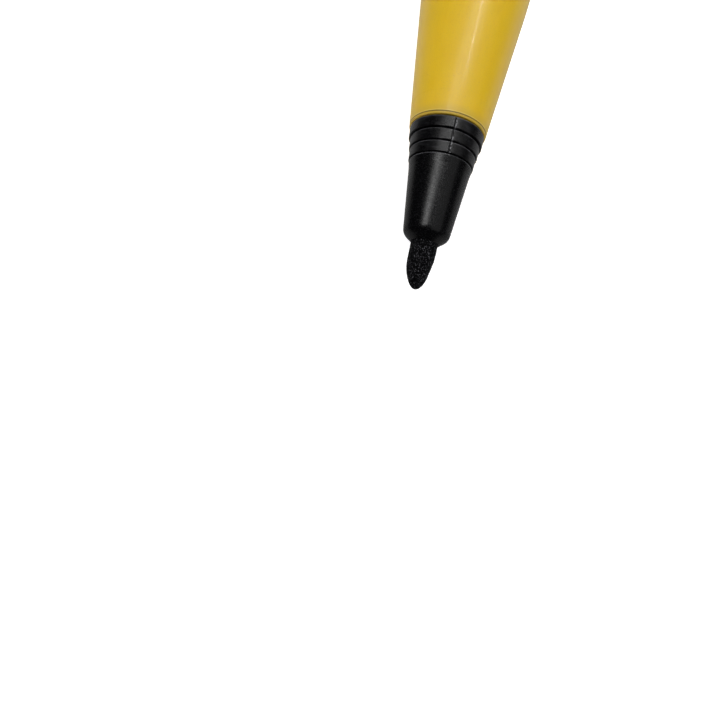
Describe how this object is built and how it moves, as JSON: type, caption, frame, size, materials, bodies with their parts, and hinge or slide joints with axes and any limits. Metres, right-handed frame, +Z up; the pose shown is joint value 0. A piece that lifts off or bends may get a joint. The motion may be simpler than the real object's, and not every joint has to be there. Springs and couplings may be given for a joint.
{
  "type": "felt-tip brush pen",
  "caption": "Felt-tip pen with a tapered barrel, a stepped nib section, a bullet felt nib and a vented clip cap posted on its tail.",
  "frame": {"origin": "on the surface that the pen lies on, under the middle of the whole pen with its cap posted", "axes": "+X along the pen towards the nib, +Z up from the surface; the clip points towards +Y and down"},
  "size_m": [0.1544, 0.0156, 0.0134],
  "materials": {
    "nib_felt": "matte",
    "section_black": "satin",
    "barrel_yellow": "satin",
    "reservoir_fibre": "matte",
    "wrap_film": "gloss",
    "tail_black": "satin",
    "inner_cap_dark": "matte",
    "cap_black": "satin",
    "crown_black": "satin",
    "clip_black": "satin"
  },
  "bodies": {
    "pen": {"nib": "nib_felt", "nib_section": "section_black", "barrel": "barrel_yellow", "ink_reservoir": "reservoir_fibre", "reservoir_film": "wrap_film", "tail_plug": "tail_black"},
    "inner_cap": {"inner_cap": "inner_cap_dark"},
    "cap": {"cap_shell": "cap_black", "cap_crown": "crown_black"},
    "clip": {"clip": "clip_black"}
  },
  "joints": [
    {"name": "cap_pull", "type": "slide", "parent": "pen", "child": "inner_cap", "axis": [-1, 0, 0], "range_m": [0, 0.018]},
    {"name": "cap_turn", "type": "hinge", "parent": "inner_cap", "child": "cap", "pos_m": [-0.0562, -0.0011, 0.0067], "axis": [1, 0, 0], "continuous": true},
    {"name": "clip_flex", "type": "hinge", "parent": "cap", "child": "clip", "pos_m": [-0.07512, 0.00667, 0.00177], "axis": [0, 0.5355, 0.8445], "range_deg": [0, 5], "stiffness_Nm_per_rad": 0.5}
  ]
}
